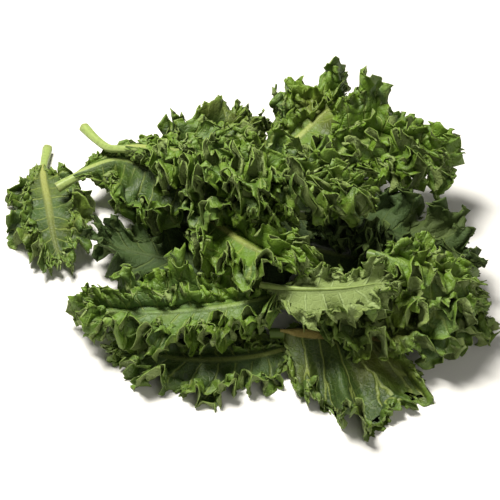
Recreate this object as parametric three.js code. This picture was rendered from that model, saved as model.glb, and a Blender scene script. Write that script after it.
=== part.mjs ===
// A bunch of curly kale, cut and laid down in a loose heap: each leaf is a frilled blade on a pale stalk.
// Millimetres, +Z up. The surface that the heap lies on is z = 0, and the origin is the middle of the heap on
// it. Most stalks' cut ends are at the left (-X), and the leaves fan out to the right (+X) and the front (-Y).
import * as THREE from 'three';

// Driving dimensions, in millimetres unless the name says otherwise.
const BLADE_THICKNESS = 0.9;
const STATION_PITCH = 7.2; // along the rib
const STALK_RADIUS_CUT = 5.2;
const STALK_RADIUS_TIP = 1.3;
const STALK_SIDES = 7;
const STALK_ENDS_AT = 0.8; // share of the blade's length that the rib stands out of
const STALK_TO_BLADE = 1.1; // clear space between a stalk and its blade
const STEEPEST = 0.4; // a frill as steep as this, or steeper, is thickened by one over it
const LAYER_GAP = 1.8; // clear height between a leaf and what it lies on
const FLOOR_PRESS = 9; // how far a frill that meets the surface is pressed flat on it
const CELL = 2; // side of a cell in the map of the heap's height
const MAP_HALF_SIDE = 300;
const DRAPE_PASSES = 7; // how stiffly a blade hangs over what it lies on
const RIB_PASSES_EACH = 24; // the rib is stiffer, so it is evened out more often

// How wide a blade is and how far its side veins lean forward, from its foot (0) to its tip (1).
const widthShare = (t) => Math.sin(Math.PI * (0.08 + 0.78 * t)) ** 0.7;
const veinLean = (t) => THREE.MathUtils.degToRad(14 + 52 * smooth(0.4, 1, t));

// A half blade is a chain of strips from the rib out: two smooth inner ones, and two that are frilled. lobe and
// frill are how far the broad lobes and the close frill tip each strip, in degrees.
const STRIPS = [
  { frilled: false, lobe: 6, frill: 2 },
  { frilled: false, lobe: 14, frill: 8 },
  { frilled: true, lobe: 18, frill: 30 },
  { frilled: true, lobe: 18, frill: 48 },
];
const FRILLED_STRIP = 12; // width of one frilled strip
const FRILLED_SHARE = 0.29; // and no more than this share of a narrow half blade
const FRILL_STATIONS = 2.9;
const LOBE_STATIONS = 5.3;
const LOBE_SHARE_OF_WIDTH = 0.12;
const SWAY_DEGREES = 10;
const INSIDE_BEND = 0.55; // a half blade on the inside of a bend is at most this share of the bend's radius
const MARGIN_DRIFT = 2.5; // how far a margin's points stray along the leaf

// One leaf each, from the lowest in the heap to the highest. rib runs from the stalk's cut end to the tip, stalk
// is the bare length before the blade, and left and right are the halves seen along the rib from above: width of
// the half, then its slope in degrees beside the rib and at the margin, where above 0 rises.
const LEAVES = [
  {
    name: 'under', rib: [[-120, 60, 9], [-60, 70, 9], [8, 83, 9], [85, 89, 9], [140, 80, 9]],
    stalk: 30, left: [62, -18, 0], right: [62, -18, 0], frill: 0.5,
  },
  {
    name: 'front_low', rib: [[60, -72, 9], [10, -90, 9], [-50, -92, 9], [-100, -80, 9]],
    stalk: 14, left: [46, -14, 4], right: [48, -14, 10], frill: 0.8,
  },
  {
    name: 'front', rib: [[22, -72, 10], [56, -76, 10], [88, -78, 11], [112, -80, 11], [124, -84, 10]],
    stalk: 8, left: [36, 0, 10], right: [94, -18, 0], frill: 0.7,
  },
  {
    name: 'left', rib: [[-187, 178, 12], [-188, 140, 12], [-180, 97, 13], [-171, 50, 14], [-164, 24, 12]],
    stalk: 30, left: [42, 6, 20], right: [42, 4, -4], frill: 0.8,
  },
  {
    name: 'under_left', rib: [[60, 20, 14], [10, 6, 16], [-58, 14, 18], [-126, 36, 18]],
    stalk: 10, left: [48, 0, 14], right: [48, 0, 14], frill: 0.8,
  },
  {
    name: 'under_right', rib: [[16, 24, 20], [80, 4, 20], [130, 0, 20], [166, 10, 16]],
    stalk: 24, left: [50, 0, 6], right: [48, 0, 6], frill: 0.7,
  },
  {
    name: 'front_right', rib: [[44, -44, 26], [88, -68, 24], [138, -70, 22], [172, -62, 20], [196, -54, 16]],
    stalk: 14, left: [44, 8, 24], right: [44, 0, -20], frill: 1,
  },
  {
    name: 'front_left', rib: [[56, -48, 46], [-5, -64, 44], [-63, -65, 38], [-104, -57, 30], [-134, -44, 24]],
    stalk: 16, left: [44, 4, -10], right: [46, 8, 26], frill: 1,
  },
  {
    name: 'right', rib: [[34, 50, 40], [97, 28, 46], [150, 6, 46], [184, -12, 40]],
    stalk: 20, left: [48, 8, 34], right: [44, 4, 0], frill: 1.05,
  },
  {
    name: 'right_low', rib: [[104, -36, 54], [144, -56, 56], [188, -60, 46]],
    stalk: 6, left: [42, 10, 30], right: [42, 2, -10], frill: 1,
  },
  {
    name: 'pale', rib: [[14, -58, 58], [44, -70, 66], [82, -74, 70], [120, -68, 70]],
    stalk: 6, left: [28, 14, 40], right: [34, -2, -30], frill: 0.9, faceDown: true,
  },
  {
    name: 'centre', rib: [[-46, 52, 44], [-22, 14, 56], [10, -26, 62], [44, -48, 60]],
    stalk: 12, left: [46, 10, 36], right: [46, 4, 0], frill: 1.05,
  },
  {
    name: 'back_left', rib: [[-112, 112, 30], [-72, 118, 40], [-32, 136, 46], [4, 150, 50]],
    stalk: 24, left: [46, 10, 22], right: [46, 10, 20], frill: 1.1,
  },
  {
    name: 'middle',
    rib: [
      [-171, 96, 22], [-143, 110, 28], [-116, 112, 36], [-84, 88, 44],
      [-44, 54, 54], [0, 22, 60], [34, 4, 58],
    ],
    stalk: 18, left: [42, 8, 30], right: [52, -8, -30], frill: 1,
  },
  {
    name: 'back', rib: [[14, 88, 66], [44, 112, 74], [72, 142, 82], [90, 160, 84]],
    stalk: 12, left: [50, 12, 26], right: [46, 8, 16], frill: 1,
  },
  {
    name: 'right_back', rib: [[62, 66, 60], [100, 92, 70], [142, 100, 70], [172, 92, 58]],
    stalk: 14, left: [48, 8, 24], right: [46, 4, -10], frill: 1.05,
  },
  {
    name: 'ridge',
    rib: [
      [-149, 160, 40], [-136, 138, 44], [-122, 119, 50], [-90, 101, 64],
      [-49, 77, 80], [3, 44, 94], [61, 18, 102], [98, 12, 98],
    ],
    stalk: 70, left: [46, 6, 26], right: [52, 0, -26], frill: 1.05,
  },
];

const UP = new THREE.Vector3(0, 0, 1);

function smooth(from, to, x) {
  const s = THREE.MathUtils.clamp((x - from) / (to - from), 0, 1);
  return s * s * (3 - 2 * s);
}

// A repeatable number from 0 to 1 for each leaf and each use of it.
const FRILL_PHASE = 3;
const FRILL_SWELL = 5;
const DRIFT = 7;
const SHADE = 9;
function draw(leafNumber, use) {
  const x = Math.sin(leafNumber * 127.1 + use * 311.7) * 43758.5453;
  return x - Math.floor(x);
}

// The height of what already lies in the heap, as a square map of cells.
const cellsAcross = (2 * MAP_HALF_SIDE) / CELL;
const heapTop = new Float64Array(cellsAcross * cellsAcross).fill(-LAYER_GAP - FLOOR_PRESS);
const cellOf = (x) => THREE.MathUtils.clamp(Math.floor((x + MAP_HALF_SIDE) / CELL), 1, cellsAcross - 2);

function topNear(x, y) {
  let top = -Infinity;
  for (let row = cellOf(y) - 1; row <= cellOf(y) + 1; row++)
    for (let column = cellOf(x) - 1; column <= cellOf(x) + 1; column++)
      top = Math.max(top, heapTop[row * cellsAcross + column]);
  return top;
}

// Calls use(point, corner numbers) over a triangle, at points no further apart than a cell.
function overTriangle(points, corners, use) {
  const [a, b, c] = corners.map((i) => points[i]);
  const longest = Math.max(a.distanceTo(b), b.distanceTo(c), c.distanceTo(a));
  const steps = Math.ceil(longest / CELL) + 1;
  const p = new THREE.Vector3();
  for (let i = 0; i <= steps; i++)
    for (let j = 0; j <= steps - i; j++) {
      p.copy(a).multiplyScalar(1 - (i + j) / steps);
      p.addScaledVector(b, i / steps).addScaledVector(c, j / steps);
      use(p, corners);
    }
}

// The rib's line, and its frame at each station: along, out to the right, and up from the leaf.
function ribStations(leaf) {
  const curve = new THREE.CatmullRomCurve3(leaf.rib.map((p) => new THREE.Vector3(...p)), false, 'centripetal');
  const length = curve.getLength();
  const bladeStations = Math.round((length - leaf.stalk) / STATION_PITCH);
  const pitch = (length - leaf.stalk) / bladeStations;
  const stalkStations = Math.max(2, Math.round(leaf.stalk / pitch));
  const stations = [];
  for (let j = -stalkStations; j <= bladeStations; j++) {
    const distance = j < 0 ? leaf.stalk * (1 + j / stalkStations) : leaf.stalk + j * pitch;
    const share = Math.min(1, distance / length);
    const along = curve.getTangentAt(share);
    const right = new THREE.Vector3().crossVectors(along, UP).normalize();
    const up = new THREE.Vector3().crossVectors(right, along);
    const radius = THREE.MathUtils.lerp(STALK_RADIUS_CUT, STALK_RADIUS_TIP, share ** 0.8);
    const [before, after] = [share - 0.02, share + 0.02].map((x) => THREE.MathUtils.clamp(x, 0, 1));
    const turn = curve.getTangentAt(after).sub(curve.getTangentAt(before));
    const bendRight = turn.dot(right) / ((after - before) * length);
    stations.push({ at: curve.getPointAt(share), along, right, up, bendRight, radius, t: j / bladeStations, j });
  }
  return { stations, stalkStations, bladeStations };
}

// A half of the blade across one station, from beside the stalk to the margin, before it is draped. side is -1
// on the left and 1 on the right.
function halfSection(leaf, leafNumber, s, side) {
  const [width, slopeAtRib, slopeAtMargin] = side < 0 ? leaf.left : leaf.right;
  const phase = 2 * Math.PI * draw(leafNumber, FRILL_PHASE + side);
  const lobe = Math.sin((2 * Math.PI * s.j) / LOBE_STATIONS + phase);
  const swell = 0.8 + 0.4 * draw(leafNumber + s.j, FRILL_SWELL + side);
  const turn = swell * Math.sin((2 * Math.PI * s.j) / FRILL_STATIONS + 3 * phase);
  const drift = MARGIN_DRIFT * (draw(leafNumber + s.j, DRIFT + side) - 0.5);
  const lean = veinLean(s.t);
  const out = s.right.clone().multiplyScalar(side * Math.cos(lean)).addScaledVector(s.along, Math.sin(lean));
  const beside = s.radius + STALK_TO_BLADE;
  const room = INSIDE_BEND / Math.max(1e-6, side * s.bendRight);
  const reach = Math.min(width * widthShare(s.t) * (1 + LOBE_SHARE_OF_WIDTH * lobe), room) - beside;
  const frilledStrip = Math.min(FRILLED_STRIP, FRILLED_SHARE * reach);
  const innerStrip = (reach - 2 * frilledStrip) / 2;
  const p = s.at.clone().addScaledVector(out, beside);
  const section = [{ p: p.clone(), through: s.up }];
  let gone = 0;
  for (const strip of STRIPS) {
    const length = strip.frilled ? frilledStrip : innerStrip;
    const share = (gone + length / 2) / reach;
    gone += length;
    const sway = SWAY_DEGREES * share * Math.sin(5 * s.t + phase);
    const own = THREE.MathUtils.degToRad(THREE.MathUtils.lerp(slopeAtRib, slopeAtMargin, share) + sway);
    const slope = own + THREE.MathUtils.degToRad(leaf.frill * (strip.lobe * lobe + strip.frill * turn));
    p.addScaledVector(out, length * Math.cos(slope)).addScaledVector(s.up, length * Math.sin(slope));
    if (strip.frilled) p.addScaledVector(s.along, drift / 2);
    const through = out.clone().multiplyScalar(-Math.sin(own)).addScaledVector(s.up, Math.cos(own));
    section.push({ p: p.clone(), through });
  }
  return section;
}

// Lays a leaf on the heap: works out how far each of its points has to rise to clear what is below, evens that
// out as a stiff blade does, and adds the leaf to the map. Returns the blade's grid of points and the rib's line.
function layDown(leaf, leafNumber) {
  const { stations, stalkStations, bladeStations } = ribStations(leaf);
  const perRow = 2 * (STRIPS.length + 1);
  const left = perRow / 2 - 1;
  const sections = stations.slice(stalkStations).flatMap((s) =>
    [...halfSection(leaf, leafNumber, s, -1).reverse(), ...halfSection(leaf, leafNumber, s, 1)]);
  const grid = sections.map(({ p }) => p);
  const through = sections.map((v) => v.through);
  const triangles = [];
  for (let j = 0; j < bladeStations; j++)
    for (let k = 0; k < perRow - 1; k++) {
      const a = j * perRow + k;
      triangles.push([a, a + 1, a + perRow], [a + 1, a + perRow + 1, a + perRow]);
    }

  // The stalk hangs under the blade, or stands on top of a leaf that lies face down. Its lowest line has to
  // clear the heap, and its highest line is what the next leaf lies on.
  const depth = (s) => 2 * s.radius + STALK_TO_BLADE + BLADE_THICKNESS / 2;
  const edgeAt = (s, side, rise) =>
    s.at.clone().addScaledVector(s.right, side * s.radius).addScaledVector(s.up, rise);
  const stripAt = (rise) => stations.flatMap((s) => [edgeAt(s, -1, rise(s)), edgeAt(s, 1, rise(s))]);
  const lowest = stripAt((s) => (leaf.faceDown ? 0 : -depth(s)));
  const highest = stripAt((s) => (leaf.faceDown ? depth(s) : 0));
  const stripTriangles = [];
  for (let i = 0; i < stations.length - 1; i++)
    stripTriangles.push([2 * i, 2 * i + 1, 2 * i + 2], [2 * i + 1, 2 * i + 3, 2 * i + 2]);

  const need = new Float64Array(grid.length);
  for (const t of triangles)
    overTriangle(grid, t, (p, corners) => {
      const rise = topNear(p.x, p.y) + LAYER_GAP - p.z;
      for (const i of corners) need[i] = Math.max(need[i], rise);
    });
  const ribNeed = new Float64Array(stations.length);
  for (const t of stripTriangles)
    overTriangle(lowest, t, (p, corners) => {
      const rise = Math.max(topNear(p.x, p.y) + LAYER_GAP, 0) - p.z;
      for (const i of corners) ribNeed[i >> 1] = Math.max(ribNeed[i >> 1], rise);
    });

  // A stiff rib can't peak at one station, so its neighbours rise as far.
  const ribFloor = ribNeed.map((rise, i) => Math.max(rise, ribNeed[i - 1] ?? 0, ribNeed[i + 1] ?? 0));

  const lift = Float64Array.from(need);
  const ribLift = Float64Array.from(ribFloor);
  const even = () => {
    for (let n = 0; n < RIB_PASSES_EACH; n++) {
      const was = Float64Array.from(ribLift);
      for (let i = 0; i < was.length; i++) {
        const j = i - stalkStations;
        const own = j >= 0 ? Math.max(lift[j * perRow + left], lift[j * perRow + left + 1]) : 0;
        const mean = (was[Math.max(0, i - 1)] + was[Math.min(was.length - 1, i + 1)]) / 2;
        ribLift[i] = Math.max(ribFloor[i], own, mean);
      }
    }
    const was = Float64Array.from(lift);
    for (let j = 0; j <= bladeStations; j++)
      for (let k = 0; k < perRow; k++) {
        const around = [
          was[Math.max(0, j - 1) * perRow + k],
          was[Math.min(bladeStations, j + 1) * perRow + k],
          was[j * perRow + Math.max(0, k - 1)],
          was[j * perRow + Math.min(perRow - 1, k + 1)],
        ];
        const mean = (around[0] + around[1] + around[2] + around[3]) / 4;
        lift[j * perRow + k] = Math.max(need[j * perRow + k], mean);
      }
    for (let j = 0; j <= bladeStations; j++)
      for (const k of [left, left + 1]) lift[j * perRow + k] = ribLift[j + stalkStations];
  };
  for (let n = 0; n < DRAPE_PASSES; n++) even();

  grid.forEach((p, i) => {
    p.z = Math.max(p.z + lift[i], BLADE_THICKNESS / 2);
  });
  highest.forEach((p, i) => {
    p.z += ribLift[i >> 1];
  });
  stations.forEach((s, i) => {
    s.at.z += ribLift[i];
  });
  const mark = (p) => {
    const cell = cellOf(p.y) * cellsAcross + cellOf(p.x);
    heapTop[cell] = Math.max(heapTop[cell], p.z);
  };
  for (const t of triangles) overTriangle(grid, t, mark);
  for (const t of stripTriangles) overTriangle(highest, t, mark);
  return { stations, grid, through, triangles, perRow, bladeStations };
}

// The blade as one closed sheet: its two faces are split into triangles alike, and a rim joins them. It is thick
// square to the unfrilled blade, and thicker where a frill is steep.
function bladeGeometry({ grid, through, triangles, perRow, bladeStations }) {
  const steepness = grid.map(() => 1);
  for (const t of triangles) {
    const normal = new THREE.Triangle(...t.map((v) => grid[v])).getNormal(new THREE.Vector3());
    for (const v of t) steepness[v] = Math.min(steepness[v], normal.dot(through[v]));
  }
  const position = [];
  for (const face of [1, -1])
    grid.forEach((p, i) => {
      const onSurface = p.z <= BLADE_THICKNESS / 2;
      const reach = BLADE_THICKNESS / 2 / (onSurface ? 1 : Math.max(STEEPEST, steepness[i]));
      const q = p.clone().addScaledVector(onSurface ? UP : through[i], face * reach);
      position.push(q.x, q.y, Math.max(0, q.z));
    });
  const other = grid.length;
  const index = triangles.flatMap(([a, b, c]) => [a, b, c, other + a, other + c, other + b]);
  const rim = [];
  for (let k = 0; k < perRow - 1; k++) rim.push([k, k + 1]);
  for (let j = 0; j < bladeStations; j++) rim.push([(j + 1) * perRow - 1, (j + 2) * perRow - 1]);
  for (let k = perRow - 1; k > 0; k--) rim.push([bladeStations * perRow + k, bladeStations * perRow + k - 1]);
  for (let j = bladeStations; j > 0; j--) rim.push([j * perRow, (j - 1) * perRow]);
  for (const [a, b] of rim) index.push(a, other + b, b, a, other + a, other + b);
  return new THREE.BufferGeometry()
    .setAttribute('position', new THREE.Float32BufferAttribute(position, 3))
    .setIndex(index);
}

// The stalk and the rib that it runs out into: a tube under the blade that thins towards the tip.
function stalkGeometry(leaf, { stations }) {
  const facing = leaf.faceDown ? 1 : -1;
  const kept = stations.filter((s, i) => i % 2 === 0 && s.t <= STALK_ENDS_AT);
  const line = kept.map((s) =>
    s.at.clone().addScaledVector(s.up, facing * (s.radius + STALK_TO_BLADE + BLADE_THICKNESS / 2)));
  const curve = new THREE.CatmullRomCurve3(line, false, 'centripetal');
  const steps = kept.length - 1;
  const outline = new THREE.Shape();
  for (let i = 0; i < STALK_SIDES; i++) {
    const angle = (2 * Math.PI * i) / STALK_SIDES;
    outline[i ? 'lineTo' : 'moveTo'](Math.cos(angle), Math.sin(angle));
  }
  const tube = new THREE.ExtrudeGeometry(outline, { steps, extrudePath: curve, bevelEnabled: false });
  const rings = curve.getSpacedPoints(steps);
  const position = tube.getAttribute('position');
  const p = new THREE.Vector3();
  for (let i = 0; i < position.count; i++) {
    p.fromBufferAttribute(position, i);
    let nearest = 0;
    rings.forEach((ring, n) => {
      if (ring.distanceTo(p) < rings[nearest].distanceTo(p)) nearest = n;
    });
    const radius = kept[nearest].radius;
    p.sub(rings[nearest]).multiplyScalar(radius).add(rings[nearest]);
    position.setXYZ(i, p.x, p.y, p.z);
  }
  tube.deleteAttribute('normal');
  tube.deleteAttribute('uv');
  return tube;
}

function bladeMaterial(leafNumber) {
  const green = new THREE.Color(0x3c6a22).lerp(new THREE.Color(0x5c8a3c), draw(leafNumber, SHADE));
  return new THREE.MeshStandardMaterial({ color: green, roughness: 0.55, metalness: 0 });
}

function stalkMaterial() {
  return new THREE.MeshStandardMaterial({ color: 0xb7cf7c, roughness: 0.45, metalness: 0 });
}

const bunch = new THREE.Group();
LEAVES.forEach((leaf, leafNumber) => {
  const laid = layDown(leaf, leafNumber);
  const blade = new THREE.Mesh(bladeGeometry(laid), bladeMaterial(leafNumber));
  blade.name = `${leaf.name}_leaf_blade`;
  const stalk = new THREE.Mesh(stalkGeometry(leaf, laid), stalkMaterial());
  stalk.name = `${leaf.name}_leaf_stalk`;
  bunch.add(blade, stalk);
});

// The origin is the middle of the heap, on the surface.
const box = new THREE.Box3().setFromObject(bunch);
const middle = box.getCenter(new THREE.Vector3());
bunch.position.set(-middle.x, -middle.y, 0);

export default bunch;
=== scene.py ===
"""A bunch of curly kale, cut and laid down in a loose heap, built around the CAD frame."""

import bpy
import numpy as np
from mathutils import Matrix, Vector


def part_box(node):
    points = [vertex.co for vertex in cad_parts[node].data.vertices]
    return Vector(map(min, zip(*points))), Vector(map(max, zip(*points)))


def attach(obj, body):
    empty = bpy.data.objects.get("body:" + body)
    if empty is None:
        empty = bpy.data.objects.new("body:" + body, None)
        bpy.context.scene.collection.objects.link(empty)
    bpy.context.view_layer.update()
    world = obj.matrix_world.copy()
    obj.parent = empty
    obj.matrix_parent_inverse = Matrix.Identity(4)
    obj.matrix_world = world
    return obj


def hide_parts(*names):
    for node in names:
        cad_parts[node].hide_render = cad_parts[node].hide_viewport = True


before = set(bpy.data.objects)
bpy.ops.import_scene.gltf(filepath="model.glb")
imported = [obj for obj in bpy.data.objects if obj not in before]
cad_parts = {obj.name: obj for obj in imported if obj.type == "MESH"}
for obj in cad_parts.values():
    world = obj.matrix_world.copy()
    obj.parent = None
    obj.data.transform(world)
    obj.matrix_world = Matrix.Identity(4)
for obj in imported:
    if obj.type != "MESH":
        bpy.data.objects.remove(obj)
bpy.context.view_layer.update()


# The leaves, as they lie in the heap, from the lowest to the highest. Each grew on a pale rib, which runs
# from its cut end at the stalk to the tip and carries a half blade on either side. A half is as wide as its
# first number, in millimetres, and rises by its other two, in degrees, beside the rib and at the margin.
LEAVES = [
    dict(name="under", rib=[(-120, 60, 9), (-60, 70, 9), (8, 83, 9), (85, 89, 9), (140, 80, 9)],
         stalk=30, left=(62, -18, 0), right=(62, -18, 0), frill=0.5),
    dict(name="front_low", rib=[(60, -72, 9), (10, -90, 9), (-50, -92, 9), (-100, -80, 9)],
         stalk=14, left=(46, -14, 4), right=(48, -14, 10), frill=0.8),
    dict(name="front", rib=[(22, -72, 10), (56, -76, 10), (88, -78, 11), (112, -80, 11), (124, -84, 10)],
         stalk=8, left=(36, 0, 10), right=(94, -18, 0), frill=0.7),
    dict(name="left", rib=[(-187, 178, 12), (-188, 140, 12), (-180, 97, 13), (-171, 50, 14),
                           (-164, 24, 12)],
         stalk=30, left=(42, 6, 20), right=(42, 4, -4), frill=0.8),
    dict(name="under_left", rib=[(60, 20, 14), (10, 6, 16), (-58, 14, 18), (-126, 36, 18)],
         stalk=10, left=(48, 0, 14), right=(48, 0, 14), frill=0.8),
    dict(name="under_right", rib=[(16, 24, 20), (80, 4, 20), (130, 0, 20), (166, 10, 16)],
         stalk=24, left=(50, 0, 6), right=(48, 0, 6), frill=0.7),
    dict(name="front_right", rib=[(44, -44, 26), (88, -68, 24), (138, -70, 22), (172, -62, 20),
                                  (196, -54, 16)],
         stalk=14, left=(44, 8, 24), right=(44, 0, -20), frill=1),
    dict(name="front_left", rib=[(56, -48, 46), (-5, -64, 44), (-63, -65, 38), (-104, -57, 30),
                                 (-134, -44, 24)],
         stalk=16, left=(44, 4, -10), right=(46, 8, 26), frill=1),
    dict(name="right", rib=[(34, 50, 40), (97, 28, 46), (150, 6, 46), (184, -12, 40)],
         stalk=20, left=(48, 8, 34), right=(44, 4, 0), frill=1.05),
    dict(name="right_low", rib=[(104, -36, 54), (144, -56, 56), (188, -60, 46)],
         stalk=6, left=(42, 10, 30), right=(42, 2, -10), frill=1),
    dict(name="pale", rib=[(14, -58, 58), (44, -70, 66), (82, -74, 70), (120, -68, 70)],
         stalk=6, left=(28, 14, 40), right=(34, -2, -30), frill=0.9, face_down=True),
    dict(name="centre", rib=[(-46, 52, 44), (-22, 14, 56), (10, -26, 62), (44, -48, 60)],
         stalk=12, left=(46, 10, 36), right=(46, 4, 0), frill=1.05),
    dict(name="back_left", rib=[(-112, 112, 30), (-72, 118, 40), (-32, 136, 46), (4, 150, 50)],
         stalk=24, left=(46, 10, 22), right=(46, 10, 20), frill=1.1),
    dict(name="middle", rib=[(-171, 96, 22), (-143, 110, 28), (-116, 112, 36), (-84, 88, 44), (-44, 54, 54),
                             (0, 22, 60), (34, 4, 58)],
         stalk=18, left=(42, 8, 30), right=(52, -8, -30), frill=1),
    dict(name="back", rib=[(14, 88, 66), (44, 112, 74), (72, 142, 82), (90, 160, 84)],
         stalk=12, left=(50, 12, 26), right=(46, 8, 16), frill=1),
    dict(name="right_back", rib=[(62, 66, 60), (100, 92, 70), (142, 100, 70), (172, 92, 58)],
         stalk=14, left=(48, 8, 24), right=(46, 4, -10), frill=1.05),
    dict(name="ridge", rib=[(-149, 160, 40), (-136, 138, 44), (-122, 119, 50), (-90, 101, 64),
                            (-49, 77, 80), (3, 44, 94), (61, 18, 102), (98, 12, 98)],
         stalk=70, left=(46, 6, 26), right=(52, 0, -26), frill=1.05),
]


# The ribs' lines. A rib is a stiff fleshy stem that bends smoothly through the heap and thins towards its
# tip. Stations follow each other along it, from the cut end, below 0, through the blade's foot, at 0.
STATION_PITCH = 7.2
CUT_RADIUS, TIP_RADIUS, THINNING = 5.2, 1.3, 0.8
RIB_SAMPLES = np.linspace(0, 1, 201)
DIRECTION_STEP, BEND_STEP = 1e-4, 0.02


def on_rib(points, t):
    """Places on the centripetal curve through a rib's points, at the shares t of the way from end to end."""
    ends = np.vstack([2 * points[0] - points[1], points, 2 * points[-1] - points[-2]])
    whole = np.minimum((t * (len(points) - 1)).astype(int), len(points) - 2)
    part = (t * (len(points) - 1) - whole)[:, None]
    a, b, c, d = (ends[whole + k] for k in range(4))
    ab, bc, cd = (np.sum((q - p) ** 2, axis=1)[:, None] ** 0.25 for p, q in ((a, b), (b, c), (c, d)))
    leaving = ((b - a) / ab - (c - a) / (ab + bc) + (c - b) / bc) * bc
    arriving = ((c - b) / bc - (d - b) / (bc + cd) + (d - c) / cd) * bc
    bend = -3 * b + 3 * c - 2 * leaving - arriving
    return b + leaving * part + bend * part**2 + (2 * b - 2 * c + leaving + arriving) * part**3


def unit(v):
    return v / np.linalg.norm(v, axis=-1, keepdims=True)


def rib_frame(leaf, station):
    """Place, directions, bend, radius and distances of a leaf's rib at each of the given stations."""
    points = np.array(leaf["rib"], float)
    line = on_rib(points, RIB_SAMPLES)
    gone = np.concatenate([[0], np.cumsum(np.linalg.norm(np.diff(line, axis=0), axis=1))])
    length = gone[-1]
    stations = round((length - leaf["stalk"]) / STATION_PITCH)
    pitch = (length - leaf["stalk"]) / stations
    before = max(2, round(leaf["stalk"] / pitch))
    from_cut = np.where(station < 0, leaf["stalk"] * (1 + station / before), leaf["stalk"] + station * pitch)
    share = np.clip(from_cut / length, 0, 1)

    def direction(s):
        t = np.interp(s * length, gone, RIB_SAMPLES)
        ahead, behind = np.minimum(t + DIRECTION_STEP, 1), np.maximum(t - DIRECTION_STEP, 0)
        return unit(on_rib(points, ahead) - on_rib(points, behind))

    at = on_rib(points, np.interp(share * length, gone, RIB_SAMPLES))
    along = direction(share)
    right = unit(np.cross(along, (0, 0, 1)))
    low, high = np.clip(share - BEND_STEP, 0, 1), np.clip(share + BEND_STEP, 0, 1)
    bend = np.sum((direction(high) - direction(low)) * right, axis=1) / ((high - low) * length)
    radius = CUT_RADIUS + (TIP_RADIUS - CUT_RADIUS) * share**THINNING
    return dict(at=at, along=along, right=right, up=np.cross(right, along), bend=bend, radius=radius,
                t=station / stations, j=station, stations=stations, before=before,
                from_foot=station * pitch, to_tip=(stations - station) * pitch)


# The lie of the blades. A cut leaf is stiff but soft enough to settle: it is laid down on what is already
# in the heap and rises where that is in its way. Each half blade is a chain of four strips from the rib
# out, the outer two frilled, and the CAD solids are this same shape in coarse steps.
SHEET = 0.9
STALK_CLEAR, LAYER_GAP, PRESS = 1.1, 1.8, 9
LEAN, LEAN_MORE, LEAN_FROM = 14, 52, 0.4
OUTLINE_START, OUTLINE_SPAN, FULLNESS = 0.08, 0.78, 0.7
INSIDE_BEND, STRAIGHT = 0.55, 1e-6
FRILLED_STRIP, FRILLED_SHARE = 12, 0.29
LOBE_STATIONS, LOBE_DEPTH = 5.3, 0.12
LOBE_TILT = (6, 14, 18, 18)
FRILL_STATIONS, FRILL_PHASES = 2.9, 3
FRILL_TILT = (2, 8, 30, 48)
SWAY, SWAY_ANGLE = 10, 5
LEAST_SWELL, MORE_SWELL = 0.8, 0.4
MARGIN_DRIFT = 2.5
PHASE_DRAW, SWELL_DRAW, DRIFT_DRAW = 3, 5, 7


def draw(leaf_number, use):
    """A random number from 0 to 1, the same in each run for one leaf and one use."""
    x = np.sin(leaf_number * 127.1 + use * 311.7) * 43758.5453
    return x - np.floor(x)


def smooth(low, high, x):
    """0 where x is at low and 1 where it is at high, eased between them."""
    s = np.clip((x - low) / (high - low), 0, 1)
    return s * s * (3 - 2 * s)


def half_outline(leaf, side, f):
    """The half blade's lobes, folds, outward directions and strip widths at the frame's stations."""
    width, rib_slope, margin_slope = leaf["left"] if side < 0 else leaf["right"]
    phase = 2 * np.pi * draw(leaf["number"], PHASE_DRAW + side)
    lobe = np.sin(2 * np.pi * f["j"] / LOBE_STATIONS + phase)
    fold = 2 * np.pi * f["j"] / FRILL_STATIONS + FRILL_PHASES * phase
    lean = np.radians(LEAN + LEAN_MORE * smooth(LEAN_FROM, 1, f["t"]))[:, None]
    out = f["right"] * side * np.cos(lean) + f["along"] * np.sin(lean)
    beside = f["radius"] + STALK_CLEAR
    room = INSIDE_BEND / np.maximum(STRAIGHT, side * f["bend"])
    share = np.sin(np.pi * (OUTLINE_START + OUTLINE_SPAN * f["t"])) ** FULLNESS
    reach = np.minimum(width * share * (1 + LOBE_DEPTH * lobe), room) - beside
    frilled = np.minimum(FRILLED_STRIP, FRILLED_SHARE * reach)
    return dict(phase=phase, lobe=lobe, fold=fold, out=out, beside=beside, reach=reach, frilled=frilled,
                inner=(reach - 2 * frilled) / 2, slopes=(rib_slope, margin_slope))


def swell_at(leaf, side, station):
    return LEAST_SWELL + MORE_SWELL * draw(leaf["number"] + station, SWELL_DRAW + side)


def drift_at(leaf, side, station):
    return MARGIN_DRIFT * (draw(leaf["number"] + station, DRIFT_DRAW + side) - 0.5)


def slope_at(h, f, share):
    """The half blade's slope in degrees at a share of its width, before lobes and folds tilt it."""
    slope = h["slopes"][0] + (h["slopes"][1] - h["slopes"][0]) * share
    return slope + SWAY * share * np.sin(SWAY_ANGLE * f["t"] + h["phase"])


def further_out(p, h, f, length, slope):
    """The points that lie one length out from p, at slopes in radians."""
    return p + h["out"] * (length * np.cos(slope))[:, None] + f["up"] * (length * np.sin(slope))[:, None]


def coarse_half(leaf, side, f):
    """The half blade's points, in a column beside the rib and one at the far side of each strip."""
    h = half_outline(leaf, side, f)
    turn = swell_at(leaf, side, f["j"]) * np.sin(h["fold"])
    drift = drift_at(leaf, side, f["j"])
    p = f["at"] + h["out"] * h["beside"][:, None]
    points, gone = [p], 0
    for strip, (lobe_tilt, frill_tilt) in enumerate(zip(LOBE_TILT, FRILL_TILT)):
        length = h["frilled"] if strip > 1 else h["inner"]
        slope = slope_at(h, f, (gone + length / 2) / h["reach"])
        slope = np.radians(slope + leaf["frill"] * (lobe_tilt * h["lobe"] + frill_tilt * turn))
        gone = gone + length
        p = further_out(p, h, f, length, slope)
        if strip > 1:
            p = p + f["along"] * drift[:, None] / 2
        points.append(p)
    return points


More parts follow.
